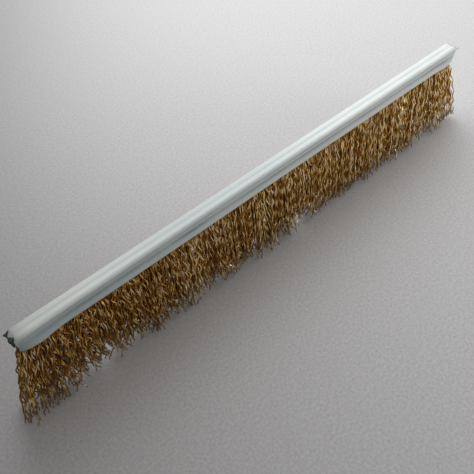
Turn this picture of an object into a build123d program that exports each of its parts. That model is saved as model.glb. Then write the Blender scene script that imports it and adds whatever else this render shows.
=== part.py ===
from build123d import *

# Brush strip of a door sweep: a roll-formed steel channel grips crimped brass bristles that are
# folded over a core wire. It stands on the bristle tips.
# Frame: X along the strip, Y across it, Z up; the origin is the middle of the tip plane. Millimetres.
import os
from math import radians, sin

# Driving dimensions of the strip
STRIP_LENGTH = 300.0  # the channel, cut to length
CHANNEL_WIDTH = 7.8  # over the shoulders of the back
CHANNEL_HEIGHT = 10.5  # from the lips to the back
SHEET = 0.8  # channel sheet thickness
TRIM = 50.8  # free length of the bristles below the channel lips
CORE_RADIUS = 1.2  # core wire that the bristles are folded round
CORE_PROUD = 0.5  # how far each end of the core wire stands out of the channel

# Channel profile: half widths, and depths below the back
GROOVE_HALF = 1.2  # half width of the groove along the back
GROOVE_DEPTH = 0.45  # before its corners are rounded
NECK = (3.8, 2.2)  # (half width, depth) under the shoulder
UPPER_BULGE = (3.92, 3.3)
WAIST = (3.3, 5.0)  # rolled groove that bites into the bristles
LOWER_BULGE_TOP = (3.7, 6.6)
LOWER_BULGE_FOOT = (3.7, 9.0)
LIP = (3.45, CHANNEL_HEIGHT)
LIP_RUN_OUT = 1.0  # the profile lines run on this far and are cut off level at the lips
GROOVE_RADIUS = 2.0
CREST_RADIUS = 1.5
SHOULDER_RADIUS = 1.4
NECK_RADIUS = 2.0
BULGE_RADIUS = 1.2
WAIST_RADIUS = 1.2
FOOT_RADIUS = 1.5

# Bristle bundles
BUNDLES = 20
PACKING_GAP = 0.05  # between the bristle roots and the steel round them
ROOT_GAP = 0.1  # between neighbouring roots
TUFT_GAP = 0.3  # between neighbouring free tufts
HINGE_DROP = 1.9  # bending axis below the lips
KNUCKLE_RADIUS = 2.55  # rounded top of a free tuft, about the bending axis
SEAT_GAP = 0.25  # between a tuft's knuckle and the seat in its root
BEND = 35.0  # degrees that a tuft bends each way
TIP_HALF_WIDTH = 5.5  # half thickness of the brush at the tips
END_FAN = 19.5  # how far the end tufts lean out past the channel at their tips
FOLD_COVER = 0.9  # bristles between the core wire and the back

# Derived places
BACK_Z = TRIM + CHANNEL_HEIGHT
HINGE_Z = TRIM - HINGE_DROP
PITCH = STRIP_LENGTH / BUNDLES
CORE_Z = BACK_Z - GROOVE_DEPTH - SHEET - FOLD_COVER - CORE_RADIUS
SEAT_RADIUS = KNUCKLE_RADIUS + SEAT_GAP
SIDE = Plane.YZ  # profiles are drawn across the strip and extruded along it


def outside_line():
    """The outer line of the channel's profile, from below one lip over the back to below the other."""
    lean = (LIP[0] - LOWER_BULGE_FOOT[0]) / (LIP[1] - LOWER_BULGE_FOOT[1])
    half = [
        ((LIP[0] + lean * LIP_RUN_OUT, LIP[1] + LIP_RUN_OUT), None),
        (LOWER_BULGE_FOOT, FOOT_RADIUS),
        (LOWER_BULGE_TOP, BULGE_RADIUS),
        (WAIST, WAIST_RADIUS),
        (UPPER_BULGE, BULGE_RADIUS),
        (NECK, NECK_RADIUS),
        ((CHANNEL_WIDTH / 2, 0.0), SHOULDER_RADIUS),
        ((GROOVE_HALF, 0.0), CREST_RADIUS),
    ]
    right = [(y, BACK_Z - depth) for (y, depth), _ in half]
    left = [(-y, z) for y, z in reversed(right)]
    corner_radii = [radius for _, radius in half[1:]]
    radii = corner_radii + [GROOVE_RADIUS] + corner_radii[::-1]
    return FilletPolyline(*right, (0.0, BACK_Z - GROOVE_DEPTH), *left, radius=radii)


def closed_at_lips(line):
    """The face inside an open profile line, cut off level with the lips."""
    across = Line(line.position_at(1), line.position_at(0))
    below_lips = Pos(0, TRIM - CHANNEL_HEIGHT / 2) * Rectangle(2 * CHANNEL_WIDTH, CHANNEL_HEIGHT)
    return make_face([*line.edges(), across]) - below_lips


def inside_face(depth):
    """The face that lies inside the channel's outer line by depth."""
    return closed_at_lips(outside_line().offset_2d(depth, side=Side.LEFT, closed=False))


def along_strip(face, start, end):
    """The face extruded along the strip from x = start to x = end."""
    return Pos(start, 0, 0) * extrude(SIDE * face, end - start, dir=(1, 0, 0))


def bundle_span(index, gap):
    """The x where bundle number index starts and ends, with half of gap left free at each side."""
    start = -STRIP_LENGTH / 2 + index * PITCH
    return start + gap / 2, start + PITCH - gap / 2


def make_channel():
    """The sheet between the outer line and the same line one sheet thickness further in."""
    profile = closed_at_lips(outside_line()) - inside_face(SHEET)
    return along_strip(profile, -STRIP_LENGTH / 2, STRIP_LENGTH / 2)


def make_core_wire():
    """The round wire that holds the folded bristles in the channel."""
    half = STRIP_LENGTH / 2 + CORE_PROUD
    return along_strip(Pos(0, CORE_Z) * Circle(CORE_RADIUS), -half, half)


def make_root(index):
    """The gripped part of one bundle: it fills the channel round the core wire, down to the lips."""
    profile = inside_face(SHEET + PACKING_GAP)
    profile -= Pos(0, CORE_Z) * Circle(CORE_RADIUS + PACKING_GAP)
    profile -= Pos(0, HINGE_Z) * Circle(SEAT_RADIUS)
    return along_strip(profile, *bundle_span(index, ROOT_GAP))


def tuft_profile():
    """Section of a free tuft: a round knuckle about the bending axis, flaring down to a flat foot."""
    knuckle = Pos(0, HINGE_Z) * Circle(KNUCKLE_RADIUS)
    flare = make_face(
        Polyline(
            (KNUCKLE_RADIUS, HINGE_Z),
            (TIP_HALF_WIDTH, 0.0),
            (-TIP_HALF_WIDTH, 0.0),
            (-KNUCKLE_RADIUS, HINGE_Z),
            close=True,
        )
    )
    return knuckle + flare


def make_tuft(index):
    """The free part of one bundle. The tufts at the two ends fan out beyond the channel."""
    start, end = bundle_span(index, TUFT_GAP)
    fan_start = END_FAN if index == 0 else 0.0
    fan_end = END_FAN if index == BUNDLES - 1 else 0.0
    blank = along_strip(tuft_profile(), start - fan_start, end + fan_end)
    front_view = make_face(
        Polyline(
            (start, BACK_Z),
            (start, HINGE_Z),
            (start - fan_start, 0.0),
            (end + fan_end, 0.0),
            (end, HINGE_Z),
            (end, BACK_Z),
            close=True,
        )
    )
    keep = extrude(Plane.XZ * front_view, 2 * TIP_HALF_WIDTH, both=True)
    return blank & keep


def check_room():
    """A bent tuft's flank stays below the lips, and its knuckle stays between them."""
    assert KNUCKLE_RADIUS * sin(radians(BEND)) < HINGE_DROP, "a bent tuft would meet the lips"
    assert KNUCKLE_RADIUS < LIP[0] - SHEET, "the knuckle is wider than the channel's mouth"


def write_node(name, piece):
    """One closed solid in one STEP file, named after its node."""
    solids = piece.solids()
    assert len(solids) == 1 and solids[0].is_valid, f"{name} is not one valid solid"
    export_step(solids[0], f"parts/{name}.step")


def main():
    """Builds and writes every sub-part of the strip."""
    check_room()
    os.makedirs("parts", exist_ok=True)
    write_node("channel", make_channel())
    write_node("core_wire", make_core_wire())
    for index in range(BUNDLES):
        write_node(f"bristle_root_{index + 1:02d}", make_root(index))
        write_node(f"bristle_tuft_{index + 1:02d}", make_tuft(index))


main()
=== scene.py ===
"""Looks of a metal-backed brass strip brush, the brush of a door sweep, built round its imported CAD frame.

Lengths in the dataclass fields are millimetres unless a field says otherwise, and MM turns them into metres.
X runs along the strip, Y across it and Z up. The strip stands on its bristle tips.
"""

import logging
import math
from dataclasses import dataclass, field
from enum import Enum

import bpy
import numpy as np
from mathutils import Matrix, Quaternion, Vector


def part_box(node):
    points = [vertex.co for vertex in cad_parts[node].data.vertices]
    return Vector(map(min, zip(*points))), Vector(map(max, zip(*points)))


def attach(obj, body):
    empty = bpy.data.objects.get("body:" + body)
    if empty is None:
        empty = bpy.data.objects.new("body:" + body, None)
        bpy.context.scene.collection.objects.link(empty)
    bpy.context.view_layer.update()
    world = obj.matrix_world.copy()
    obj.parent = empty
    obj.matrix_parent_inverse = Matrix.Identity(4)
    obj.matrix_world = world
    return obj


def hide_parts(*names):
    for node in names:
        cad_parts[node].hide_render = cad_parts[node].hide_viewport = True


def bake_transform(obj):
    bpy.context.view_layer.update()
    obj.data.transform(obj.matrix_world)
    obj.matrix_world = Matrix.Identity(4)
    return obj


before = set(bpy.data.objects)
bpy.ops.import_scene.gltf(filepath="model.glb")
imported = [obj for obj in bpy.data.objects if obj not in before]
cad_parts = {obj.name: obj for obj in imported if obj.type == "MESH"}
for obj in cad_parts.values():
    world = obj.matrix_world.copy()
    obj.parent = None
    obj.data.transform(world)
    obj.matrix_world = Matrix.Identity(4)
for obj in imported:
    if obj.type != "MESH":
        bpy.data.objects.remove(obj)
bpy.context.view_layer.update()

MM = 0.001
CHANNEL_BODY = "channel_body"
ANY_PHASE = 6.3  # random phases are drawn from 0 to this, about one turn in radians

Array = np.ndarray
Socket = bpy.types.NodeSocket
Triple = tuple[float, float, float]
Colour = Triple

log = logging.getLogger("strip_brush")


class StripEnd(Enum):
    """The two sheared ends of the strip, by their direction along X."""

    NEAR = -1
    FAR = 1


class Slot(Enum):
    """The record's material slots."""

    CHANNEL = "channel_steel"
    CORE = "core_steel"
    BRISTLE = "brass_bristle"


def smoothstep(value: Array) -> Array:
    """The smooth rise from 0 to 1 as value goes from 0 to 1, clipped outside."""
    t = np.clip(value, 0.0, 1.0)
    return t * t * (3.0 - 2.0 * t)


def mesh_from_quads(name: str, points: Array, quads: Array) -> bpy.types.Mesh:
    """Makes a smooth-shaded mesh of quads.

    Args:
        name: the mesh's name.
        points: vertex places in metres, one row of three each.
        quads: vertex numbers, one row of four for each face.

    Returns:
        The new mesh.
    """
    mesh = bpy.data.meshes.new(name)
    mesh.vertices.add(len(points))
    mesh.vertices.foreach_set("co", points.astype(np.float32).ravel())
    mesh.loops.add(quads.size)
    mesh.loops.foreach_set("vertex_index", quads.astype(np.int32).ravel())
    mesh.polygons.add(len(quads))
    mesh.polygons.foreach_set("loop_start", np.arange(0, quads.size, 4, dtype=np.int32))
    mesh.update(calc_edges=True)
    mesh.shade_smooth()
    return mesh


def point_attribute(mesh: bpy.types.Mesh, name: str, values: Array) -> None:
    """Stores one number for each vertex, for a material to read."""
    attribute = mesh.attributes.new(name, "FLOAT", "POINT")
    attribute.data.foreach_set("value", values.astype(np.float32).ravel())


def place(name: str, mesh: bpy.types.Mesh) -> bpy.types.Object:
    """Links a new object for the mesh at the frame's origin."""
    piece = bpy.data.objects.new(name, mesh)
    bpy.context.scene.collection.objects.link(piece)
    return piece


# ---- Finishes ----


class ShaderBench:
    """Lays out the nodes of one finish round a Principled shader."""

    def __init__(self, name: str) -> None:
        """Starts an empty material with its shader and output."""
        self.material = bpy.data.materials.new(name)
        self.material.use_nodes = True
        self.tree = self.material.node_tree
        self.tree.nodes.clear()
        self.shader = self.tree.nodes.new("ShaderNodeBsdfPrincipled")
        output = self.tree.nodes.new("ShaderNodeOutputMaterial")
        self.link(self.shader.outputs["BSDF"], output.inputs["Surface"])
        self.place = self.tree.nodes.new("ShaderNodeTexCoord").outputs["Object"]

    def link(self, source: Socket, target: Socket) -> None:
        """Joins an output to an input."""
        self.tree.links.new(source, target)

    def constants(self, **values: float) -> None:
        """Sets shader sockets that are the same all over, named in lower case with underscores."""
        for name, value in values.items():
            socket = name.replace("_", " ").title().replace("Ior", "IOR")
            self.shader.inputs[socket].default_value = value

    def noise(self, per_metre: Triple, detail: float = 3.0, rough: float = 0.55) -> Socket:
        """Noise with its own scale along each axis.

        Args:
            per_metre: how many grains lie in a metre along X, Y and Z.
            detail: how many finer octaves are added.
            rough: how strong the finer octaves are.

        Returns:
            The socket of a value round 0.5.
        """
        mapping = self.tree.nodes.new("ShaderNodeMapping")
        mapping.inputs["Scale"].default_value = per_metre
        self.link(self.place, mapping.inputs["Vector"])
        texture = self.tree.nodes.new("ShaderNodeTexNoise")
        texture.inputs["Scale"].default_value = 1.0
        texture.inputs["Detail"].default_value = detail
        texture.inputs["Roughness"].default_value = rough
        self.link(mapping.outputs["Vector"], texture.inputs["Vector"])
        return texture.outputs["Fac"]

    def attribute(self, name: str) -> Socket:
        """The socket of a number stored on the mesh."""
        node = self.tree.nodes.new("ShaderNodeAttribute")
        node.attribute_name = name
        return node.outputs["Fac"]

    def remap(self, value: Socket, low: float, high: float, start: float = 0.3, stop: float = 0.7) -> Socket:
        """Stretches value from start..stop to low..high, clipped at both ends."""
        node = self.tree.nodes.new("ShaderNodeMapRange")
        node.inputs["From Min"].default_value = start
        node.inputs["From Max"].default_value = stop
        node.inputs["To Min"].default_value = low
        node.inputs["To Max"].default_value = high
        self.link(value, node.inputs["Value"])
        return node.outputs["Result"]

    def maths(self, operation: str, first: Socket | float, second: Socket | float) -> Socket:
        """One arithmetic step between two sockets, or a socket and a number."""
        node = self.tree.nodes.new("ShaderNodeMath")
        node.operation = operation
        for socket, value in zip(node.inputs, (first, second)):
            if isinstance(value, (int, float)):
                socket.default_value = value
            else:
                self.link(value, socket)
        return node.outputs["Value"]

    def ramp(self, value: Socket, stops: tuple[tuple[float, Colour], ...]) -> Socket:
        """Colours value by a ramp of (position, colour) stops."""
        node = self.tree.nodes.new("ShaderNodeValToRGB")
        elements = node.color_ramp.elements
        while len(elements) < len(stops):
            elements.new(1.0)
        for element, (position, colour) in zip(elements, stops):
            element.position = position
            element.color = (*colour, 1.0)
        self.link(value, node.inputs["Fac"])
        return node.outputs["Color"]

    def tint(self, share: Socket, under: Socket, colour: Colour) -> Socket:
        """Lays a plain colour over another one. The share says how much of it shows."""
        node = self.tree.nodes.new("ShaderNodeMix")
        node.data_type = "RGBA"
        self.link(share, node.inputs["Factor"])
        self.link(under, node.inputs["A"])
        node.inputs["B"].default_value = (*colour, 1.0)
        return node.outputs["Result"]

    def bump(self, height: Socket, strength: float, distance: float, under: Socket | None = None) -> Socket:
        """A bump from height, on top of another bump if one is given. The distance is in metres."""
        node = self.tree.nodes.new("ShaderNodeBump")
        node.inputs["Strength"].default_value = strength
        node.inputs["Distance"].default_value = distance
        self.link(height, node.inputs["Height"])
        if under is not None:
            self.link(under, node.inputs["Normal"])
        return node.outputs["Normal"]

    def finish(self, colour: Socket, roughness: Socket, normal: Socket) -> bpy.types.Material:
        """Joins the colour, roughness and bump to the shader and returns the material."""
        self.link(colour, self.shader.inputs["Base Color"])
        self.link(roughness, self.shader.inputs["Roughness"])
        self.link(normal, self.shader.inputs["Normal"])
        return self.material


@dataclass(frozen=True)
class ZincSheet:
    """Zinc-coated rolled sheet: a pale satin skin with drawing lines, bare steel at the cuts, and painted
    blue-grey shade and sky reflection on its legs and in its creases.
    """

    bright: Colour = (0.795, 0.81, 0.775)
    dull: Colour = (0.68, 0.72, 0.69)
    # Partly dirt, partly painted crease shade with a painted blue sky reflection.
    grime_shade: Colour = (0.07, 0.145, 0.195)
    # Painted shade and painted blue sky reflection for the legs and back.
    painted_shade_sky: Colour = (0.20, 0.285, 0.32)
    aged: Colour = (0.34, 0.38, 0.35)
    bare: Colour = (0.035, 0.045, 0.032)
    metallic: float = 0.12
    specular: float = 0.45
    mottle_per_metre: Triple = (42.5, 170.0, 170.0)
    lines_per_metre: Triple = (9.0, 2600.0, 2600.0)
    blotch_per_metre: Triple = (38.0, 90.0, 90.0)
    torn_per_metre: Triple = (900.0, 900.0, 900.0)

    def make(self) -> bpy.types.Material:
        """Lays out the finish."""
        bench = ShaderBench("zinc_sheet")
        bench.constants(metallic=self.metallic, specular_ior_level=self.specular)
        mottle = bench.noise(self.mottle_per_metre, 5.0)
        lines = bench.noise(self.lines_per_metre, 2.0)
        blotch = bench.noise(self.blotch_per_metre, 3.0)
        torn = bench.noise(self.torn_per_metre, 4.0, 0.65)
        skin = bench.maths("ADD", bench.maths("MULTIPLY", mottle, 0.6), bench.maths("MULTIPLY", lines, 0.4))
        colour = bench.ramp(skin, ((0.36, self.dull), (0.62, self.bright)))
        # Painted shade and painted blue sky reflection: a blue-grey tint, strongest on the legs and changing
        # along the strip.
        painted_shade_sky = bench.maths("MULTIPLY", bench.attribute("painted_shade_sky"), bench.remap(skin, 0.8, 1.0))
        colour = bench.tint(painted_shade_sky, colour, self.painted_shade_sky)
        # Partly dirt, partly painted shade: the creases, and scuffs near the cuts, darken to a blue-grey that
        # also paints sky reflection.
        crease = bench.maths("MULTIPLY", bench.attribute("crease"), bench.remap(blotch, 0.45, 1.0))
        colour = bench.tint(crease, colour, self.grime_shade)
        ageing = bench.maths("MULTIPLY", bench.attribute("ageing"), bench.remap(blotch, 0.5, 1.0))
        colour = bench.tint(ageing, colour, self.aged)
        peeled = bench.maths("ADD", bench.attribute("bare"), bench.remap(torn, -0.30, 0.30))
        peeled = bench.remap(peeled, 0.0, 1.0, 0.42, 0.58)
        colour = bench.tint(peeled, colour, self.bare)
        roughness = bench.remap(skin, 0.50, 0.66)
        normal = bench.bump(lines, 0.10, 0.05 * MM)
        normal = bench.bump(mottle, 0.12, 0.10 * MM, normal)
        return bench.finish(colour, roughness, normal)


@dataclass(frozen=True)
class ShearedEdge:
    """Raw steel where the strip was sheared: dark, torn and a little rusty."""

    steel: Colour = (0.17, 0.18, 0.17)
    torn: Colour = (0.035, 0.04, 0.035)
    metallic: float = 0.7
    tear_per_metre: float = 2400.0

    def make(self) -> bpy.types.Material:
        """Lays out the finish."""
        bench = ShaderBench("sheared_edge")
        bench.constants(metallic=self.metallic)
        tear = bench.noise((self.tear_per_metre,) * 3, 4.0)
        colour = bench.ramp(tear, ((0.38, self.torn), (0.68, self.steel)))
        return bench.finish(colour, bench.remap(tear, 0.42, 0.7), bench.bump(tear, 0.5, 0.12 * MM))


@dataclass(frozen=True)
class DrawnWire:
    """Plain drawn steel wire, dull grey with drawing lines along it."""

    pale: Colour = (0.46, 0.47, 0.47)
    dark: Colour = (0.22, 0.22, 0.22)
    metallic: float = 0.85
    lines_per_metre: Triple = (60.0, 5200.0, 5200.0)

    def make(self) -> bpy.types.Material:
        """Lays out the finish."""
        bench = ShaderBench("drawn_wire")
        bench.constants(metallic=self.metallic)
        lines = bench.noise(self.lines_per_metre, 3.0)
        colour = bench.ramp(lines, ((0.35, self.dark), (0.65, self.pale)))
        return bench.finish(colour, bench.remap(lines, 0.3, 0.5), bench.bump(lines, 0.25, 0.05 * MM))


@dataclass(frozen=True)
class TarnishedBrass:
    """Crimped brass wire: each is tarnished its own way, from brown to pale gold, mottled along its length,
    and its tone also carries painted shade, painted glints and a painted fall-off of the light.
    """

    brown: Colour = (0.32, 0.15, 0.026)
    bronze: Colour = (0.56, 0.305, 0.055)
    gold: Colour = (0.95, 0.68, 0.26)
    straw: Colour = (1.0, 0.88, 0.62)
    dirt: Colour = (0.32, 0.265, 0.185)
    metallic: float = 0.95
    specular: float = 0.9
    mottle_per_metre: Triple = (900.0, 900.0, 210.0)
    patch_per_metre: Triple = (95.0, 95.0, 50.0)
    tone_swing: float = 0.20

    def make(self) -> bpy.types.Material:
        """Lays out the finish."""
        bench = ShaderBench("tarnished_brass")
        bench.constants(metallic=self.metallic, specular_ior_level=self.specular)
        mottle = bench.noise(self.mottle_per_metre, 3.0, 0.6)
        patch = bench.noise(self.patch_per_metre, 2.0)
        swing = self.tone_swing
        # The wire_tone mark holds each wire's own tone with painted shade, painted glints and a painted
        # fall-off of light added.
        tone = bench.maths("ADD", bench.attribute("wire_tone"), bench.remap(mottle, -swing, swing))
        tone = bench.maths("ADD", tone, bench.remap(patch, -swing, swing))
        stops = ((0.0, self.brown), (0.38, self.bronze), (0.72, self.gold), (1.0, self.straw))
        dirty = bench.maths("MULTIPLY", bench.attribute("wire_dirt"), bench.remap(mottle, 0.45, 0.95))
        colour = bench.tint(dirty, bench.ramp(tone, stops), self.dirt)
        roughness = bench.remap(mottle, 0.15, 0.30)
        return bench.finish(colour, roughness, bench.bump(mottle, 0.3, 0.08 * MM))


@dataclass(frozen=True)
class PalePaper:
    """The plain pale surface that the strip stands on, with a fine tooth."""

    pale: Colour = (0.56, 0.55, 0.55)
    shade: Colour = (0.43, 0.42, 0.425)
    tooth_per_metre: float = 700.0

    def make(self) -> bpy.types.Material:
        """Lays out the finish."""
        bench = ShaderBench("pale_paper")
        bench.constants(metallic=0.0)
        tooth = bench.noise((self.tooth_per_metre,) * 3, 4.0)
        colour = bench.ramp(tooth, ((0.3, self.shade), (0.7, self.pale)))
        return bench.finish(colour, bench.remap(tooth, 0.85, 0.95), bench.bump(tooth, 0.4, 0.3 * MM))


# ---- The channel ----


@dataclass(frozen=True)
class Corner:
    """One corner of half of the rolled profile: its half width, its depth below the back, and its radius."""

    half_width: float
    depth: float
    radius: float


@dataclass(frozen=True)
class Profile:
    """The outer line of the channel's section, from the -Y lip over the back to the +Y lip."""

    lip: Corner
    corners: tuple[Corner, ...]
    groove_depth: float
    groove_radius: float
    arc_steps: int = 6
    run_steps: int = 3

    def line(self) -> Array:
        """The line's points, (y, depth) in millimetres, with each corner rounded by an arc."""
        half = [self.lip, *self.corners]
        left = [(-c.half_width, c.depth, c.radius) for c in half]
        right = [(c.half_width, c.depth, c.radius) for c in reversed(half)]
        path = np.array([*left, (0.0, self.groove_depth, self.groove_radius), *right])
        points = [path[0, :2]]
        for before, corner, after in zip(path[:-2], path[1:-1], path[2:]):
            arc = self._arc(before[:2], corner[:2], after[:2], corner[2])
            points.extend(self._run(points[-1], arc[0]))
            points.extend(arc)
        points.extend(self._run(points[-1], path[-1, :2]))
        points.append(path[-1, :2])
        return np.array(points)

    def _run(self, start: Array, stop: Array) -> list[Array]:
        """Points between start and stop, both left out."""
        shares = np.linspace(0.0, 1.0, self.run_steps + 2)[1:-1]
        return [start + (stop - start) * share for share in shares]

    def _arc(
        self, before: Array, corner: Array, after: Array, radius: float
    ) -> list[Array]:
        """Points of the arc that rounds a corner of a line, with its two ends among them."""
        back = (before - corner) / np.linalg.norm(before - corner)
        on = (after - corner) / np.linalg.norm(after - corner)
        half_angle = math.acos(float(np.clip(back @ on, -1.0, 1.0))) / 2.0
        reach = radius / math.tan(half_angle)
        centre = corner + (back + on) / np.linalg.norm(back + on) * (radius / math.sin(half_angle))
        start = corner + back * reach - centre
        sweep = math.pi - 2.0 * half_angle
        turn = math.copysign(sweep, start[1] * back[0] - start[0] * back[1])
        angles = np.linspace(0.0, turn, self.arc_steps)
        cosines, sines = np.cos(angles), np.sin(angles)
        across, down = start
        turned = zip(across * cosines - down * sines, across * sines + down * cosines)
        return [centre + np.array(point) for point in turned]


ROLLED = Profile(
    lip=Corner(3.45, 10.5, 0.0),
    corners=(
        Corner(3.70, 9.0, 1.5),
        Corner(3.70, 6.6, 1.2),
        Corner(3.30, 5.0, 1.2),
        Corner(3.92, 3.3, 1.2),
        Corner(3.80, 2.2, 2.0),
        Corner(3.90, 0.0, 1.4),
        Corner(1.20, 0.0, 1.5),
    ),
    groove_depth=0.16,
    groove_radius=3.0,
)

FLATTENED = Profile(
    lip=Corner(3.50, 10.6, 0.0),
    corners=(
        Corner(3.62, 9.0, 1.5),
        Corner(3.68, 6.8, 1.2),
        Corner(3.66, 5.0, 1.2),
        Corner(3.88, 3.5, 1.2),
        Corner(3.95, 2.4, 1.2),
        Corner(4.10, 0.15, 1.5),
        Corner(1.45, 0.05, 1.2),
    ),
    groove_depth=0.12,
    groove_radius=3.0,
)


@dataclass(frozen=True)
class Burr:
    """A sliver that the shear left on a cut: its place on the section, and how far it runs each way."""

    across: float
    depth: float
    width: float
    out: float
    up: float
    aside: float


@dataclass(frozen=True)
class CutEnd:
    """How the shear left one end of the channel. Reaches are measured along the strip from the cut."""

    flatten: float
    flatten_reach: float
    pinch: float
    pinch_reach: float
    swell: float
    swell_at: float
    swell_reach: float
    droop: float
    droop_reach: float
    tear: float
    bare_reach: float
    ageing: float
    ageing_reach: float
    slant: float
    scuff: float
    scuff_reach: float
    burrs: tuple[Burr, ...]


CUTS = {
    StripEnd.NEAR: CutEnd(
        flatten=0.85,
        flatten_reach=17.0,
        pinch=0.7,
        pinch_reach=5.0,
        swell=0.75,
        swell_at=11.0,
        swell_reach=6.5,
        droop=0.9,
        droop_reach=3.0,
        tear=0.34,
        bare_reach=1.7,
        ageing=0.75,
        ageing_reach=11.0,
        slant=1.2,
        scuff=0.62,
        scuff_reach=6.0,
        burrs=(Burr(3.0, 0.3, 1.1, 1.4, -1.2, 0.2), Burr(-2.2, 0.4, 1.3, 0.6, -0.3, 0.0)),
    ),
    StripEnd.FAR: CutEnd(
        flatten=0.7,
        flatten_reach=14.0,
        pinch=0.3,
        pinch_reach=4.0,
        swell=0.35,
        swell_at=8.0,
        swell_reach=6.0,
        droop=0.1,
        droop_reach=1.5,
        tear=0.12,
        bare_reach=0.25,
        ageing=0.1,
        ageing_reach=4.0,
        slant=0.3,
        scuff=0.1,
        scuff_reach=4.0,
        burrs=(Burr(-3.7, 1.1, 0.42, 3.9, 0.1, -0.8),),
    ),
}


@dataclass(frozen=True)
class GrimeShadeLine:
    """A line along the channel where dirt and painted crease shade gather: its place on the section, reach
    and strength.
    """

    at: float
    reach: float
    strength: float

    def share(self, places: Array) -> Array:
        """How much grime lies at each place."""
        return np.exp(-(((places - self.at) / self.reach) ** 2)) * self.strength


@dataclass(frozen=True)
class Fade:
    """A smooth change along the strip. It starts at a distance from the near cut."""

    amount: float
    start: float
    length: float

    def at(self, from_near: float) -> float:
        """How much of the change is reached at a distance from the near cut."""
        return self.amount * float(smoothstep((from_near - self.start) / self.length))


@dataclass
class BackChannel:
    """The folded sheet back: a rolled profile, flattened, pinched and torn where it was sheared off."""

    sheet: float = 0.8
    close_reach: float = 18.0
    even_step: float = 3.0
    end_step: float = 0.40
    waviness: float = 0.05
    sway_lengths: tuple[float, float] = (23.0, 9.0)
    sway_share: float = 0.6
    dip_length: float = 31.0
    swell_drop: float = 0.8
    pinch_rise: float = 0.5
    tear_reach: float = 3.0
    tear_waves: tuple[int, int] = (3, 9)
    scuff_top: float = 2.0
    scuff_rise: float = 5.0
    back_half: float = 2.0
    back_depth: float = 2.0
    # Partly dirt, partly painted shade along the creases of the section.
    waist_grime_shade: GrimeShadeLine = GrimeShadeLine(5.4, 1.35, 0.70)
    neck_grime_shade: GrimeShadeLine = GrimeShadeLine(2.2, 0.7, 0.42)
    groove_grime_shade: GrimeShadeLine = GrimeShadeLine(0.0, 0.6, 0.30)
    # The leg and back settings below paint shade and a blue sky reflection on the zinc, and paint its
    # brightness changing along the strip.
    leg_top: float = 0.5
    leg_rise: float = 2.0
    leg_painted_shade_sky: float = 0.58
    leg_fade: Fade = Fade(-0.40, 0.0, 170.0)
    back_fades: tuple[Fade, ...] = (Fade(0.38, 20.0, 80.0), Fade(-0.22, 135.0, 70.0))
    bare_share: float = 0.42
    bare_at_burr: float = 0.75
    bare_spread: float = 1.3
    seed: int = 11
    low: Vector = field(init=False)
    high: Vector = field(init=False)

    def __post_init__(self) -> None:
        """Takes the channel's box from the frame."""
        self.low, self.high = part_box("channel")

    def from_cut(self, x: Array) -> Array:
        """The distance from each x to the nearer cut, in millimetres."""
        return np.minimum(x - self.low.x / MM, self.high.x / MM - x)

    def lip_shift(self, x: Array) -> tuple[Array, Array]:
        """How far the lips stand out of their rolled place at each x.

        Args:
            x: places along the strip, in millimetres.

        Returns:
            The move outward across the strip and the move down, in millimetres.
        """
        away = self.from_cut(x)
        outward, down = np.zeros_like(x), np.zeros_like(x)
        for end, cut in CUTS.items():
            here = np.sign(x) == end.value
            swell = cut.swell * np.exp(-(((away - cut.swell_at) / cut.swell_reach) ** 2))
            pinch = cut.pinch * smoothstep(1.0 - away / cut.pinch_reach)
            outward = np.where(here, swell - pinch, outward)
            down = np.where(here, swell * self.swell_drop - pinch * self.pinch_rise, down)
        return outward, down

    def mouth(self, x: Array) -> Array:
        """Half of the channel's inner width between its lips at each x, in millimetres."""
        return ROLLED.lip.half_width - self.sheet + self.lip_shift(x)[0]

    def stations(self) -> Array:
        """Places of the sections along X, in millimetres, close together near the two ends."""
        start, stop = self.low.x / MM, self.high.x / MM
        end_run = np.arange(0.0, self.close_reach, self.end_step)
        middle = np.arange(start + self.close_reach, stop - self.close_reach, self.even_step)
        return np.concatenate([start + end_run, middle, (stop - end_run)[::-1]])

    def section(self, flatten: float) -> Array:
        """The closed line of one section.

        Args:
            flatten: how far the rolled profile was flattened there, 0 to 1.

        Returns:
            (y, depth) in millimetres, along the outside and back along the inside.
        """
        outer = ROLLED.line() * (1.0 - flatten) + FLATTENED.line() * flatten
        along = np.gradient(outer, axis=0)
        along /= np.linalg.norm(along, axis=1)[:, None]
        inward = np.stack([-along[:, 1], along[:, 0]], axis=1)
        return np.concatenate([outer, (outer + inward * self.sheet)[::-1]])

    def build(self) -> bpy.types.Object:
        """Makes the channel's mesh and its object, with no material yet."""
        rng = np.random.default_rng(self.seed)
        stations = self.stations()
        away = self.from_cut(stations)
        outward, down = self.lip_shift(stations)
        phases = rng.uniform(0.0, 2.0 * math.pi, 3)
        tears = {end: self._tear(end, rng) for end in StripEnd}
        rings, creases, bares, ageings, shade_sky_rings = [], [], [], [], []
        for x, edge, wide, low in zip(stations, away, outward, down):
            end = StripEnd.NEAR if x < 0.0 else StripEnd.FAR
            cut = CUTS[end]
            flatten = cut.flatten * float(smoothstep(1.0 - edge / cut.flatten_reach))
            ring = self.section(flatten)
            side, lipward = np.sign(ring[:, 0]), smoothstep(ring[:, 1] / ROLLED.lip.depth)
            pull = float(smoothstep(1.0 - edge / self.tear_reach))
            sways = [math.sin(x / run + phase) for run, phase in zip(self.sway_lengths, phases)]
            sway = self.waviness * (sways[0] + self.sway_share * sways[1])
            dip = self.waviness * math.sin(x / self.dip_length + phases[2])
            droop = cut.droop * float(smoothstep(1.0 - edge / cut.droop_reach))
            points = np.empty((len(ring), 3))
            points[:, 0] = x - end.value * cut.slant * pull * lipward * (ring[:, 0] < 0.0)
            points[:, 1] = ring[:, 0] + lipward * (side * wide + sway)
            points[:, 2] = self.high.z / MM - ring[:, 1] - lipward * (low + dip) - droop * (1.0 - lipward)
            rings.append(points + tears[end] * pull)
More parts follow.
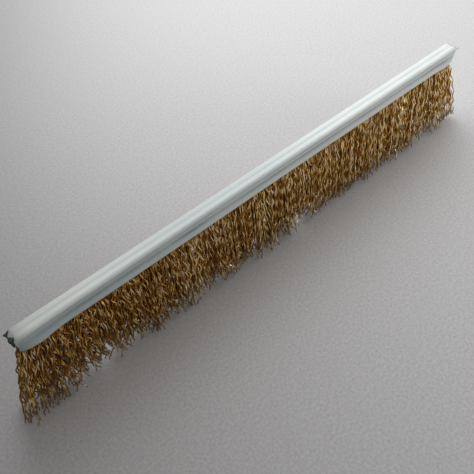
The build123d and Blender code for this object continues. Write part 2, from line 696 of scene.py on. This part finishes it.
            # Scuffs near the cuts take the same blue-grey as the creases, where dirt and painted crease shade
            # lie.
            scuff = cut.scuff * math.exp(-((edge / cut.scuff_reach) ** 2))
            scuffed = scuff * smoothstep((ring[:, 1] - self.scuff_top) / self.scuff_rise)
            creases.append(self._crease(ring) * (1.0 - flatten) + scuffed)
            # Painted shade and painted blue sky reflection on the legs and back.
            shade_sky_rings.append(self._painted_shade_sky(ring, x))
            bares.append(np.clip(1.0 - 0.5 * edge / (cut.bare_reach * self._bareness(ring, cut)), 0.0, 1.0))
            ageings.append(np.full(len(ring), cut.ageing * float(smoothstep(1.0 - edge / cut.ageing_reach))))
        mesh = self._skin(np.array(rings) * MM)
        marks = {"crease": creases, "painted_shade_sky": shade_sky_rings, "bare": bares, "ageing": ageings}
        for mark, values in marks.items():
            point_attribute(mesh, mark, np.array(values))
        return place("back_channel", mesh)

    def _crease(self, ring: Array) -> Array:
        """How much dirt and painted crease shade each point of a section holds: most in the waist, at the
        neck and in the groove.
        """
        across, depth = ring.T
        groove = np.where(depth < self.back_depth, self.groove_grime_shade.share(across), 0.0)
        leg = np.maximum(self.waist_grime_shade.share(depth), self.neck_grime_shade.share(depth))
        return np.where(np.abs(across) < self.back_half, groove, leg)

    def _painted_shade_sky(self, ring: Array, x: float) -> Array:
        """How strongly the painted shade and painted blue sky reflection tint the zinc at each point: the
        legs most at the near end, the back beyond it.
        """
        from_near = x - self.low.x / MM
        leg = self.leg_painted_shade_sky + self.leg_fade.at(from_near)
        back = sum(fade.at(from_near) for fade in self.back_fades)
        return back + (leg - back) * smoothstep((ring[:, 1] - self.leg_top) / self.leg_rise)

    def _bareness(self, ring: Array, cut: CutEnd) -> Array:
        """How wide the bare edge round a cut is at each point: widest where a burr was torn."""
        share = np.full(len(ring), self.bare_share)
        for burr in cut.burrs:
            gap = ((ring - np.array([burr.across, burr.depth])) ** 2).sum(axis=1)
            share += self.bare_at_burr * np.exp(-gap / (self.bare_spread * burr.width) ** 2)
        return share

    def _tear(self, end: StripEnd, rng: np.random.Generator) -> Array:
        """How far the shear moved each point of an end's section along X, Y and Z, in millimetres."""
        cut, ring = CUTS[end], self.section(CUTS[end].flatten)
        half = np.linspace(0.0, 1.0, len(ring) // 2)
        turns = np.concatenate([half, half[::-1]])
        moves = np.zeros((len(ring), 3))
        for wave in range(*self.tear_waves):
            phase = rng.uniform(0.0, ANY_PHASE)
            moves[:, 0] += cut.tear / math.sqrt(wave) * np.sin(2.0 * math.pi * wave * turns + phase)
        for burr in cut.burrs:
            gap = ((ring - np.array([burr.across, burr.depth])) ** 2).sum(axis=1)
            near = np.exp(-gap / burr.width**2)
            moves += near[:, None] * np.array([burr.out, burr.aside, burr.up])
        moves[:, 0] *= end.value
        return moves

    def _skin(self, rings: Array) -> bpy.types.Mesh:
        """Joins the rings into a closed skin. The faces of the two cuts take the second material."""
        count, size = rings.shape[:2]
        number = np.arange(count * size).reshape(count, size)
        following = np.roll(number, -1, axis=1)
        sides = np.stack([number[:-1], number[1:], following[1:], following[:-1]], axis=-1).reshape(-1, 4)
        half = size // 2
        outer, inner = np.arange(half), np.arange(size - 1, half - 1, -1)
        cap = np.stack([outer[:-1], outer[1:], inner[1:], inner[:-1]], axis=-1)
        caps = np.concatenate([cap, cap[:, ::-1] + (count - 1) * size])
        mesh = mesh_from_quads("back_channel", rings.reshape(-1, 3), np.concatenate([sides, caps]))
        cut_faces = np.zeros(len(mesh.polygons), np.int32)
        cut_faces[len(sides):] = 1
        mesh.polygons.foreach_set("material_index", cut_faces)
        return mesh

    def dress(self, piece: bpy.types.Object) -> None:
        """Gives the channel its finishes and ties it to the frame."""
        piece.data.materials.append(ZincSheet().make())
        piece.data.materials.append(ShearedEdge().make())
        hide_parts("channel")
        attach(piece, CHANNEL_BODY)


@dataclass
class CoreWire:
    """The round wire inside the channel, with its two ends nipped off."""

    nip: float = 0.5
    nip_reach: float = 1.2
    nip_height: float = 0.35
    sides: int = 20
    end_step: float = 0.3
    even_step: float = 10.0

    def build(self) -> bpy.types.Object:
        """Makes the wire, whose nipped ends taper to a chisel, with no material yet."""
        low, high = (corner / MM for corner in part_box("core_wire"))
        radius = (high.z - low.z) / 2.0
        run = np.arange(0.0, self.nip_reach + self.end_step, self.end_step)
        middle = np.arange(low.x + 2 * self.nip_reach, high.x - 2 * self.nip_reach, self.even_step)
        stations = np.concatenate([low.x + run, middle, (high.x - run)[::-1]])
        from_end = np.minimum(stations - low.x, high.x - stations)
        flat = 1.0 - self.nip * smoothstep(1.0 - from_end / self.nip_reach)
        angles = np.linspace(0.0, 2.0 * math.pi, self.sides, endpoint=False)
        rings = np.empty((len(stations), self.sides, 3))
        rings[:, :, 0] = stations[:, None]
        rings[:, :, 1] = (low.y + high.y) / 2.0 + radius * np.cos(angles)[None, :] * flat[:, None]
        tall = self.nip_height + (1.0 - self.nip_height) * flat
        rings[:, :, 2] = (low.z + high.z) / 2.0 + radius * np.sin(angles)[None, :] * tall[:, None]
        number = np.arange(len(stations) * self.sides).reshape(len(stations), self.sides)
        following = np.roll(number, -1, axis=1)
        skin = np.stack([number[:-1], following[:-1], following[1:], number[1:]], axis=-1).reshape(-1, 4)
        steps = np.arange(self.sides // 2 - 1)
        cap = np.stack([steps, steps + 1, self.sides - 2 - steps, self.sides - 1 - steps], axis=-1)
        caps = np.concatenate([cap[:, ::-1], cap + number[-1, 0]])
        mesh = mesh_from_quads("core_wire_drawn", rings.reshape(-1, 3) * MM, np.concatenate([skin, caps]))
        return place("core_wire_drawn", mesh)

    def dress(self, piece: bpy.types.Object) -> None:
        """Gives the wire its finish and ties it to the frame."""
        piece.data.materials.append(DrawnWire().make())
        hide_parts("core_wire")
        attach(piece, CHANNEL_BODY)


# ---- The bristles ----


@dataclass(frozen=True)
class CrimpedWire:
    """One kind of bristle wire and how it is crimped."""

    radius: float = 0.36
    sides: int = 6
    wave_length: tuple[float, float] = (7.4, 11.2)
    wave_height: tuple[float, float] = (0.42, 0.98)
    flatness: float = 0.11
    unevenness: float = 0.9
    # Painted shade: wires deep in the bundle take the darker inner tone, the outer ones the lighter tone.
    inner_shade_tone: float = 0.17
    outer_tone: float = 0.53
    shaded_layer: float = 0.45
    # Painted glints along the crimp waves, partly rubbing wear on the crests.
    rub_glint: float = 0.46
    tone_spread: float = 0.09
    lip_shade: float = 0.45
    # Darker outer wires towards the near end: partly tarnishing, partly a painted fall-off of the light.
    near_tarnish_shade: float = 0.21
    tarnish_shade_reach: float = 110.0
    outer_fade: float = 0.35
    rub_glint_inside: float = 0.35
    lip_shade_reach: float = 4.0
    steps_per_leg: int = 76
    fold_steps: int = 9
    fold_gap: tuple[float, float] = (0.40, 0.30)
    fold_spread: tuple[float, float] = (0.75, 0.2)
    waist_room: float = 2.05
    step_spread: float = 1.9
    uneven_length: float = 8.0
    height_length: float = 6.0


@dataclass(frozen=True)
class Fan:
    """How far an end's outermost bristles lean out, along and across the strip, and how early they turn."""

    front: float
    front_turn: float
    rear: float
    rear_turn: float
    across: float


@dataclass(frozen=True)
class WornPlace:
    """A stretch where the bristles have worn short: its middle along the strip and its half width."""

    along: float
    half_width: float
    short: float


@dataclass(frozen=True)
class Splay:
    """How the free bristles stand: their spread, locks, drift and ragged tips."""

    tip_half_width: float = 6.0
    fan_reach: float = 27.0
    fan_fade: float = 1.6
    drift_along: float = 1.9
    drift_across: float = 0.9
    bow_along: float = 0.8
    bow_across: float = 0.5
    end_inset: float = 1.3
    dirt_reach: float = 11.0
    lock_spacing: float = 5.5
    lock_pull: float = 0.42
    ragged_locks: float = 2.2
    ragged_wires: float = 2.2
    tip_curl: float = 1.9
    curl_reach: float = 9.0
    stray_share: float = 0.09
    stray_drift: float = 4.5
    most_short: float = 18.0
    lock_jitter: float = 1.8
    lock_blur: float = 1.2
    inner_tip: float = 0.3
    inner_mouth: float = 0.1
    mouth_room: float = 2.25
    drift_turn: float = 1.3
    end_turn_back: float = 0.3
    end_curl: float = 0.4
    fans: tuple[tuple[StripEnd, Fan], ...] = (
        (StripEnd.NEAR, Fan(16.3, 0.85, 14.5, 1.3, 2.0)),
        (StripEnd.FAR, Fan(19.5, 0.9, 18.5, 0.9, 0.6)),
    )
    worn: tuple[WornPlace, ...] = (
        WornPlace(-114.0, 5.0, 11.0),
        WornPlace(-126.0, 6.0, 5.0),
        WornPlace(-99.0, 5.0, 4.5),
        WornPlace(-52.0, 9.0, 2.5),
        WornPlace(20.0, 5.0, 8.0),
    )


@dataclass
class BristleRow:
    """All the bristle bundles. Each wire is folded over the core wire and hangs down both sides."""

    channel: BackChannel
    bundles: int = 20
    wires_per_bundle: int = 46
    seed: int = 2000
    wire: CrimpedWire = CrimpedWire()
    splay: Splay = Splay()
    blend_reach: float = 22.0
    coarse_lots: int = 27
    crimp_lots: int = 31
    lips: float = field(init=False)
    core: tuple[float, float] = field(init=False)
    half_length: float = field(init=False)

    def __post_init__(self) -> None:
        """Takes the lips, the core wire and the strip's length from the frame, and sets out the locks."""
        channel_low, channel_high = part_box("channel")
        core_low, core_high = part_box("core_wire")
        self.lips = channel_low.z / MM
        self.half_length = channel_high.x / MM
        self.core = ((core_low.z + core_high.z) / 2.0 / MM, (core_high.z - core_low.z) / 2.0 / MM)
        rng = np.random.default_rng(self.seed)
        reach = self.half_length + self.splay.lock_spacing
        self.lock_places = np.arange(-reach, reach, self.splay.lock_spacing)
        jitter = self.splay.lock_jitter
        self.lock_places = self.lock_places + rng.uniform(-jitter, jitter, len(self.lock_places))
        coarse = rng.uniform(0.0, 1.0, self.coarse_lots) ** 1.4
        fine = rng.uniform(0.0, 1.0, len(self.lock_places)) ** 2.2
        coarse_at = np.linspace(-self.half_length, self.half_length, len(coarse))
        wide = np.interp(self.lock_places, coarse_at, coarse)
        self.lock_short = self.splay.ragged_locks * (0.7 * wide + 0.8 * fine)
        self.crimp_phase = rng.uniform(0.0, 2.0 * math.pi, self.crimp_lots)

    def legs(self, rng: np.random.Generator, start: float, stop: float) -> tuple[Array, ...]:
        """Centre lines of one bundle's wires, with their tone and the dirt on them.

        Args:
            rng: the bundle's random source.
            start: the bundle's lowest x at its root.
            stop: the bundle's highest x at its root.

        Returns:
            Points in millimetres, one row for each wire from tip over the fold to tip, and a tone and a share
            of dirt for each point.
        """
        count = self.wires_per_bundle
        root_x = np.linspace(start, stop, count) + rng.uniform(-0.4, 0.4, count)
        inset = self.half_length - self.splay.end_inset
        root_x = np.clip(root_x, max(start, -inset), min(stop, inset))
        layer = rng.uniform(0.0, 1.0, count) ** 0.8
        fold = self._fold(root_x, layer)
        front, rear = (self._leg(rng, root_x, layer, side) for side in (-1, 1))
        # The gripped part inside the channel takes the dark inner tone as painted shade.
        inside = np.full(fold.shape[:2], self.wire.inner_shade_tone)
        tone = np.concatenate([front[1][:, ::-1], inside, rear[1]], axis=1)
        dirt = np.concatenate([front[2][:, ::-1], 0.0 * inside, rear[2]], axis=1)
        return np.concatenate([front[0][:, ::-1], fold, rear[0]], axis=1), tone, dirt

    def _fold(self, root_x: Array, layer: Array) -> Array:
        """The gripped part of each wire, up the -Y side, over the core wire and down the +Y side."""
        core_z, core_radius = self.core
        wide, tall = (
            core_radius + gap + spread * layer
            for gap, spread in zip(self.wire.fold_gap, self.wire.fold_spread)
        )
        angles = np.linspace(math.pi, 0.0, self.wire.fold_steps)
        points = np.empty((len(root_x), self.wire.fold_steps + 2, 3))
        points[:, :, 0] = root_x[:, None]
        points[:, 1:-1, 1] = wide[:, None] * np.cos(angles)
        points[:, 1:-1, 2] = core_z + tall[:, None] * np.sin(angles)
        waist = np.minimum(wide, self.wire.waist_room) * (0.2 + 0.8 * layer)
        points[:, 0, 1], points[:, -1, 1] = -waist, waist
        points[:, 0, 2] = points[:, -1, 2] = (core_z + self.lips) / 2.0
        return points

    def _fan(self, root_x: Array, side: int, fallen: Array) -> Array:
        """How far along X each point of one side's legs leans out near the two ends of the strip."""
        share = np.clip(1.0 - (self.half_length - np.abs(root_x)) / self.splay.fan_reach, 0.0, 1.0)
        share = (share**self.splay.fan_fade)[:, None]
        lean = np.zeros_like(fallen)
        for end, fan in self.splay.fans:
            reach, turn = (fan.front, fan.front_turn) if side < 0 else (fan.rear, fan.rear_turn)
            here = (np.sign(root_x) == end.value)[:, None]
            lean = np.where(here, end.value * reach * share * fallen**turn, lean)
        return lean

    def _flare(self, root_x: Array, side: int) -> Array:
        """How far each leg's tip stands out across the strip near its two ends, in millimetres."""
        share = np.clip(1.0 - (self.half_length - np.abs(root_x)) / self.splay.fan_reach, 0.0, 1.0)
        reach = sum(fan.across * (np.sign(root_x) == end.value) for end, fan in self.splay.fans)
        return (side * reach * share)[:, None]

    def _lengths(self, rng: np.random.Generator, root_x: Array) -> tuple[Array, Array]:
        """The free length of each leg and the place of the lock that it belongs to."""
        count = len(root_x)
        blur = rng.normal(0.0, self.splay.lock_blur, (count, 1))
        gaps = np.abs(root_x[:, None] + blur - self.lock_places[None, :])
        lock = gaps.argmin(axis=1)
        short = self.lock_short[lock] + rng.exponential(self.splay.ragged_wires, count)
        for place_of in self.splay.worn:
            short += place_of.short * np.exp(-(((root_x - place_of.along) / place_of.half_width) ** 2))
        short = np.clip(short, 0.0, self.splay.most_short)
        return self.lips - short - self.wire.radius, self.lock_places[lock]

    def _leg(
        self, rng: np.random.Generator, root_x: Array, layer: Array, side: int
    ) -> tuple[Array, ...]:
        """The free part of each wire on one side, from the lips to its tip.

        Args:
            rng: the bundle's random source.
            root_x: the place of each wire's root along the strip.
            layer: how far out from the core wire each wire lies, 0 to 1.
            side: -1 for the front legs and 1 for the rear legs.

        Returns:
            Points in millimetres, one row for each leg, and a tone and a share of dirt for each point.
        """
        splay, wire, count = self.splay, self.wire, len(root_x)
        length, lock_x = self._lengths(rng, root_x)
        down = np.linspace(0.0, 1.0, wire.steps_per_leg)[None, :] * length[:, None]
        fallen = down / self.lips
        stray = np.where(rng.uniform(0.0, 1.0, count) < splay.stray_share, splay.stray_drift, 0.0)
        drift = rng.normal(0.0, 1.0, count) * (splay.drift_along + stray)
        drift += (lock_x - root_x - drift) * splay.lock_pull
        at_end = self.half_length - np.abs(root_x) < splay.fan_reach / 2.0
        drift = np.where(at_end & (drift * root_x > 0.0), -splay.end_turn_back * drift, drift)
        loose = np.where(at_end, splay.end_curl, 1.0)[:, None]
        room = np.minimum(self.channel.mouth(root_x) - wire.radius, splay.mouth_room)
        mouth_y = side * (splay.inner_mouth + (room - splay.inner_mouth) * layer)
        tip_y = side * (splay.inner_tip + (splay.tip_half_width - splay.inner_tip) * layer)
        tip_y = tip_y + rng.normal(0.0, splay.drift_across, count)
        x = root_x[:, None] + drift[:, None] * fallen**splay.drift_turn + self._fan(root_x, side, fallen)
        y = mouth_y[:, None] + (tip_y - mouth_y)[:, None] * fallen + self._flare(root_x, side) * fallen
        for waves in (1.0, 2.0):
            bend = np.sin(math.pi * waves * fallen) / waves
            x += rng.normal(0.0, splay.bow_along, (count, 1)) * bend
            y += rng.normal(0.0, splay.bow_across, (count, 1)) * bend
        curl = smoothstep(1.0 - (length[:, None] - down) / splay.curl_reach) ** 2
        x += rng.normal(0.0, splay.tip_curl, (count, 1)) * curl * loose
        y += rng.normal(0.0, splay.tip_curl / 2.0, (count, 1)) * curl
        points = np.empty((count, wire.steps_per_leg, 3))
        wave, heading, rub_glint_wave = self._crimp(rng, root_x, down)
        points[:, :, 0] = x + wave * np.cos(heading)
        points[:, :, 1] = y + wave * np.sin(heading) * 0.8
        points[:, :, 2] = self.lips - down
        # Painted shade: wires deep in the bundle are darker than the outer ones.
        outer = smoothstep((layer[:, None] - wire.shaded_layer) / wire.outer_fade)
        tone = wire.inner_shade_tone + (wire.outer_tone - wire.inner_shade_tone) * outer
        # Painted glints along the crimp waves, partly rubbing wear, weaker on the inner wires.
        tone = tone + wire.rub_glint * rub_glint_wave * (wire.rub_glint_inside + (1.0 - wire.rub_glint_inside) * outer)
        lip_shade = wire.lip_shade * smoothstep(1.0 - down / wire.lip_shade_reach)
        tone += rng.normal(0.0, wire.tone_spread, (count, 1)) - lip_shade
        # Partly tarnishing, partly a painted fall-off of light: the outer wires darken towards the near end.
        from_near = (root_x + self.half_length)[:, None]
        tone -= wire.near_tarnish_shade * outer * smoothstep(1.0 - from_near / wire.tarnish_shade_reach)
        dirt = smoothstep(1.0 - (length[:, None] - down) / splay.dirt_reach)
        return points, np.clip(tone, 0.0, 1.0), dirt

    def _crimp(
        self, rng: np.random.Generator, root_x: Array, down: Array
    ) -> tuple[Array, ...]:
        """The crimp of each leg. Neighbours were crimped together, so their waves are nearly in step.

        Returns:
            For each point, the sideways wave in millimetres, its heading round the leg in radians, and a wave
            of painted glint along the crimp, partly rubbing wear, -1 to 1.
        """
        wire, count = self.wire, len(root_x)
        lots = np.linspace(-self.half_length, self.half_length, self.crimp_lots)
        lot = np.interp(root_x, lots, self.crimp_phase)
        pitch = rng.uniform(*wire.wave_length, (count, 1))
        height = rng.uniform(*wire.wave_height, (count, 1))
        phase = 2.0 * math.pi * down / pitch + lot[:, None] + rng.normal(0.0, wire.step_spread, (count, 1))
        uneven = rng.normal(0.0, wire.unevenness, (count, 1))
        phase += uneven * np.sin(down / wire.uneven_length + rng.uniform(0.0, ANY_PHASE, (count, 1)))
        swell = np.sin(down / wire.height_length + rng.uniform(0.0, ANY_PHASE, (count, 1)))
        height = height * (0.8 + 0.3 * swell)
        wave = np.sin(phase) - wire.flatness * np.sin(3.0 * phase)
        heading = rng.normal(0.0, 0.8, (count, 1)) + rng.normal(0.0, 0.8, (count, 1)) * down / self.lips
        # A painted glint wave along the crimp, partly rubbing wear.
        rub_glint_wave = np.sin(phase + rng.normal(1.0, 1.3, (count, 1)))
        return height * wave * smoothstep(down / 6.0 + 0.12), heading, rub_glint_wave

    def bundle_mesh(
        self, name: str, lines: Array, marks: dict[str, Array], rng: np.random.Generator
    ) -> bpy.types.Mesh:
        """Skins centre lines into closed wires.

        Args:
            name: the mesh's name.
            lines: centre lines in millimetres, one row of points for each wire.
            marks: numbers for the finish to read, one for each point of the lines.
            rng: the bundle's random source.

        Returns:
            The mesh, with the marks stored on it.
        """
        count, steps, _ = lines.shape
        sides = self.wire.sides
        tangent = np.gradient(lines, axis=1)
        tangent /= np.linalg.norm(tangent, axis=2)[:, :, None]
        across = np.cross(tangent, np.array([1.0, 0.0, 0.0]))
        across /= np.linalg.norm(across, axis=2)[:, :, None]
        other = np.cross(tangent, across)
        angles = np.linspace(0.0, 2.0 * math.pi, sides, endpoint=False)
        radius = self.wire.radius * rng.uniform(0.92, 1.08, (count, 1, 1, 1))
        ring = across[:, :, None, :] * np.cos(angles)[:, None]
        ring = ring + other[:, :, None, :] * np.sin(angles)[:, None]
        points = lines[:, :, None, :] + ring * radius
        number = np.arange(count * steps * sides).reshape(count, steps, sides)
        following = np.roll(number, -1, axis=2)
        skin = [number[:, :-1], following[:, :-1], following[:, 1:], number[:, 1:]]
        skin = np.stack(skin, axis=-1).reshape(-1, 4)
        ends = [number[:, 0, ::-1], number[:, -1, :]]
        caps = [end[:, corners] for end in ends for corners in ((0, 1, 2, 5), (5, 2, 3, 4))]
        mesh = mesh_from_quads(name, points.reshape(-1, 3) * MM, np.concatenate([skin, *caps]))
        for mark, values in marks.items():
            point_attribute(mesh, mark, np.broadcast_to(values[:, :, None], (count, steps, sides)))
        return mesh

    def build(self) -> list[bpy.types.Object]:
        """Makes every bundle's object, in place of its two CAD nodes, and returns them."""
        finish = TarnishedBrass().make()
        pitch = 2.0 * self.half_length / self.bundles
        made = []
        for index in range(self.bundles):
            rng = np.random.default_rng(self.seed + 1 + index)
            start = -self.half_length + index * pitch
            lines, tone, dirt = self.legs(rng, start + self.wire.radius, start + pitch - self.wire.radius)
            name = f"bristles_{index + 1:02d}"
            piece = place(name, self.bundle_mesh(name, lines, {"wire_tone": tone, "wire_dirt": dirt}, rng))
            piece.data.materials.append(finish)
            self._tie(piece, index + 1)
            made.append(piece)
        return made

    def _tie(self, piece: bpy.types.Object, number: int) -> None:
        """Hides the bundle's two CAD nodes, which it replaces, and bakes its placement into its mesh."""
        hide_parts(f"bristle_root_{number:02d}", f"bristle_tuft_{number:02d}")
        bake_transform(piece)


# ---- The studio ----


@dataclass(frozen=True)
class Softbox:
    """One area light: where it stands, what it faces, its size in metres and its strength in watts."""

    name: str
    stand: Triple
    facing: Triple
    size: tuple[float, float]
    watts: float
    colour: Colour

    def light(self) -> None:
        """Hangs the light."""
        lamp = bpy.data.lights.new(self.name, "AREA")
        lamp.shape = "RECTANGLE"
        lamp.size, lamp.size_y = self.size
        lamp.energy = self.watts
        lamp.color = self.colour
        holder = bpy.data.objects.new(self.name, lamp)
        holder.location = self.stand
        holder.rotation_mode = "QUATERNION"
        holder.rotation_quaternion = (Vector(self.facing) - Vector(self.stand)).to_track_quat("-Z", "Y")
        holder.visible_camera = False
        bpy.context.scene.collection.objects.link(holder)


@dataclass
class Studio:
    """The camera, the pale floor and the soft light."""

    stand: Triple = (-151.8, -164.0, 277.5)
    aim: Triple = (-44.3, -24.8, 61.3)
    roll: float = -4.12
    lens: float = 45.6
    floor_half: float = 2.5
    sky: Colour = (1.0, 0.975, 0.965)
    sky_strength: float = 0.22
    boxes: tuple[Softbox, ...] = (
        Softbox("window", (0.722, 0.541, 0.713), (1.313, 0.263, 0.0), (1.55, 1.55), 18.6, (0.97, 0.99, 1.0)),
        Softbox("room", (0.45, -0.55, 0.20), (0.10, 0.0, 0.02), (0.36, 0.18), 1.58, (1.0, 0.99, 0.97)),
        Softbox("lamp", (-0.50, -0.62, 0.16), (0.0, 0.0, 0.02), (0.34, 0.20), 0.06, (1.0, 0.98, 0.96)),
    )

    def set_camera(self) -> None:
        """Stands the camera near the strip's near end, looking down along it."""
        camera = bpy.data.cameras.new("camera")
        camera.lens = self.lens
        camera.sensor_width = 36.0
        camera.clip_start = 0.01
        holder = bpy.data.objects.new("camera", camera)
        place_of, aim = Vector(self.stand) * MM, Vector(self.aim) * MM
        holder.location = place_of
        holder.rotation_mode = "QUATERNION"
        turn = (aim - place_of).to_track_quat("-Z", "Y")
        holder.rotation_quaternion = turn @ Quaternion((0.0, 0.0, 1.0), math.radians(self.roll))
        bpy.context.scene.collection.objects.link(holder)
        bpy.context.scene.camera = holder

    def lay_floor(self) -> None:
        """Lays the pale floor at the height of the bristle tips."""
        half = self.floor_half
        corners = np.array([(-half, -half, 0.0), (half, -half, 0.0), (half, half, 0.0), (-half, half, 0.0)])
        floor = place("floor", mesh_from_quads("floor", corners, np.array([[0, 1, 2, 3]])))
        floor.data.materials.append(PalePaper().make())

    def light(self) -> None:
        """Sets the plain colour transform, the sky and the soft lights."""
        scene = bpy.context.scene
        scene.view_settings.view_transform = "Standard"
        world = bpy.data.worlds.new("sky")
        world.use_nodes = True
        background = world.node_tree.nodes["Background"]
        background.inputs["Color"].default_value = (*self.sky, 1.0)
        background.inputs["Strength"].default_value = self.sky_strength
        scene.world = world
        for box in self.boxes:
            box.light()


def main() -> None:
    """Builds the studio and the strip brush, piece by piece."""
    logging.basicConfig(level=logging.INFO, format="%(name)s: %(message)s")
    studio = Studio()
    studio.set_camera()
    studio.lay_floor()
    studio.light()
    channel = BackChannel()
    back = channel.build()
    channel.dress(back)
    core = CoreWire()
    wire = core.build()
    core.dress(wire)
    for piece in (back, wire, *BristleRow(channel).build()):
        log.info("%s: %d faces", piece.name, len(piece.data.polygons))


if __name__ == "__main__":
    main()
